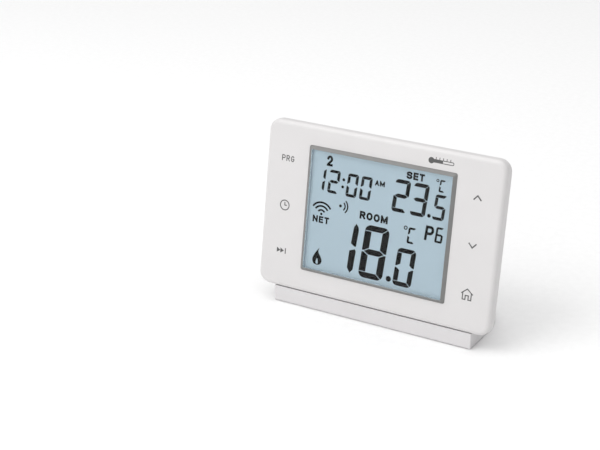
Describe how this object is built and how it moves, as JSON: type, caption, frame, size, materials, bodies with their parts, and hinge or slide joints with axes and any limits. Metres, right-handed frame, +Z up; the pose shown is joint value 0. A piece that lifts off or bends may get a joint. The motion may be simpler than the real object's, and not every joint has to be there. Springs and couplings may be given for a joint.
{
  "type": "room thermostat",
  "caption": "Wireless room thermostat with a large segment display and printed touch keys, hooked onto a low desk stand.",
  "frame": {"origin": "centre of the object's footprint at table level, under the desk stand's feet", "axes": "+Z up, -Y is where the display faces, +X is to the right of a person who looks at the display"},
  "size_m": [0.13, 0.0548, 0.0945],
  "materials": {
    "shell": "satin moulded",
    "shell_rear": "fine texture, moulded",
    "stand_shell": "satin moulded",
    "frame_grey": "satin",
    "lens": "clear, polished",
    "lcd": "smooth polariser film",
    "light_guide": "clear acrylic",
    "led_resin": "smooth resin",
    "white_tray": "moulded",
    "elastomer": "matte",
    "board": "solder mask",
    "board_blue": "solder mask",
    "chip": "moulded epoxy",
    "nickel": "nickel plated, bright",
    "copper": "drawn wire",
    "capacitor_sleeve": "shrink sleeve",
    "sensor_bead": "epoxy dipped",
    "spring_steel": "plated spring wire",
    "screw_steel": "zinc plated",
    "wire_red": "insulation",
    "wire_black": "insulation",
    "cell_jacket": "printed jacket with no lettering",
    "foot_rubber": "matte"
  },
  "bodies": {
    "stand": {"stand": "stand_shell", "stand_feet": "foot_rubber"},
    "housing": {"front_cover": "shell", "display_frame": "frame_grey", "display_lens": "lens", "lcd_glass": "lcd", "backlight_panel": "light_guide", "backlight_leds": "led_resin", "lcd_holder": "white_tray", "zebra_connector": "elastomer", "main_pcb": "board", "microcontroller": "chip", "lcd_driver": "chip", "crystal": "nickel", "wifi_module": "board_blue", "radio_module": "board", "radio_antenna": "copper", "capacitors": "capacitor_sleeve", "voltage_regulator": "chip", "usb_socket": "nickel", "room_sensor": "sensor_bead", "touch_springs": "spring_steel", "pcb_screws": "screw_steel", "rear_cover": "shell_rear", "case_screws": "screw_steel", "contact_bridge": "nickel", "contact_positive": "nickel", "contact_negative": "nickel", "lead_positive": "wire_red", "lead_negative": "wire_black", "battery_lower": "cell_jacket", "battery_upper": "cell_jacket"},
    "door": {"battery_door": "shell_rear"}
  },
  "joints": [
    {"name": "lift_off", "type": "slide", "parent": "stand", "child": "housing", "axis": [0, 0.1478, 0.989], "range_m": [0, 0.006]},
    {"name": "door_slide", "type": "slide", "parent": "housing", "child": "door", "axis": [0, -0.1478, -0.989], "range_m": [0, 0.007]}
  ]
}
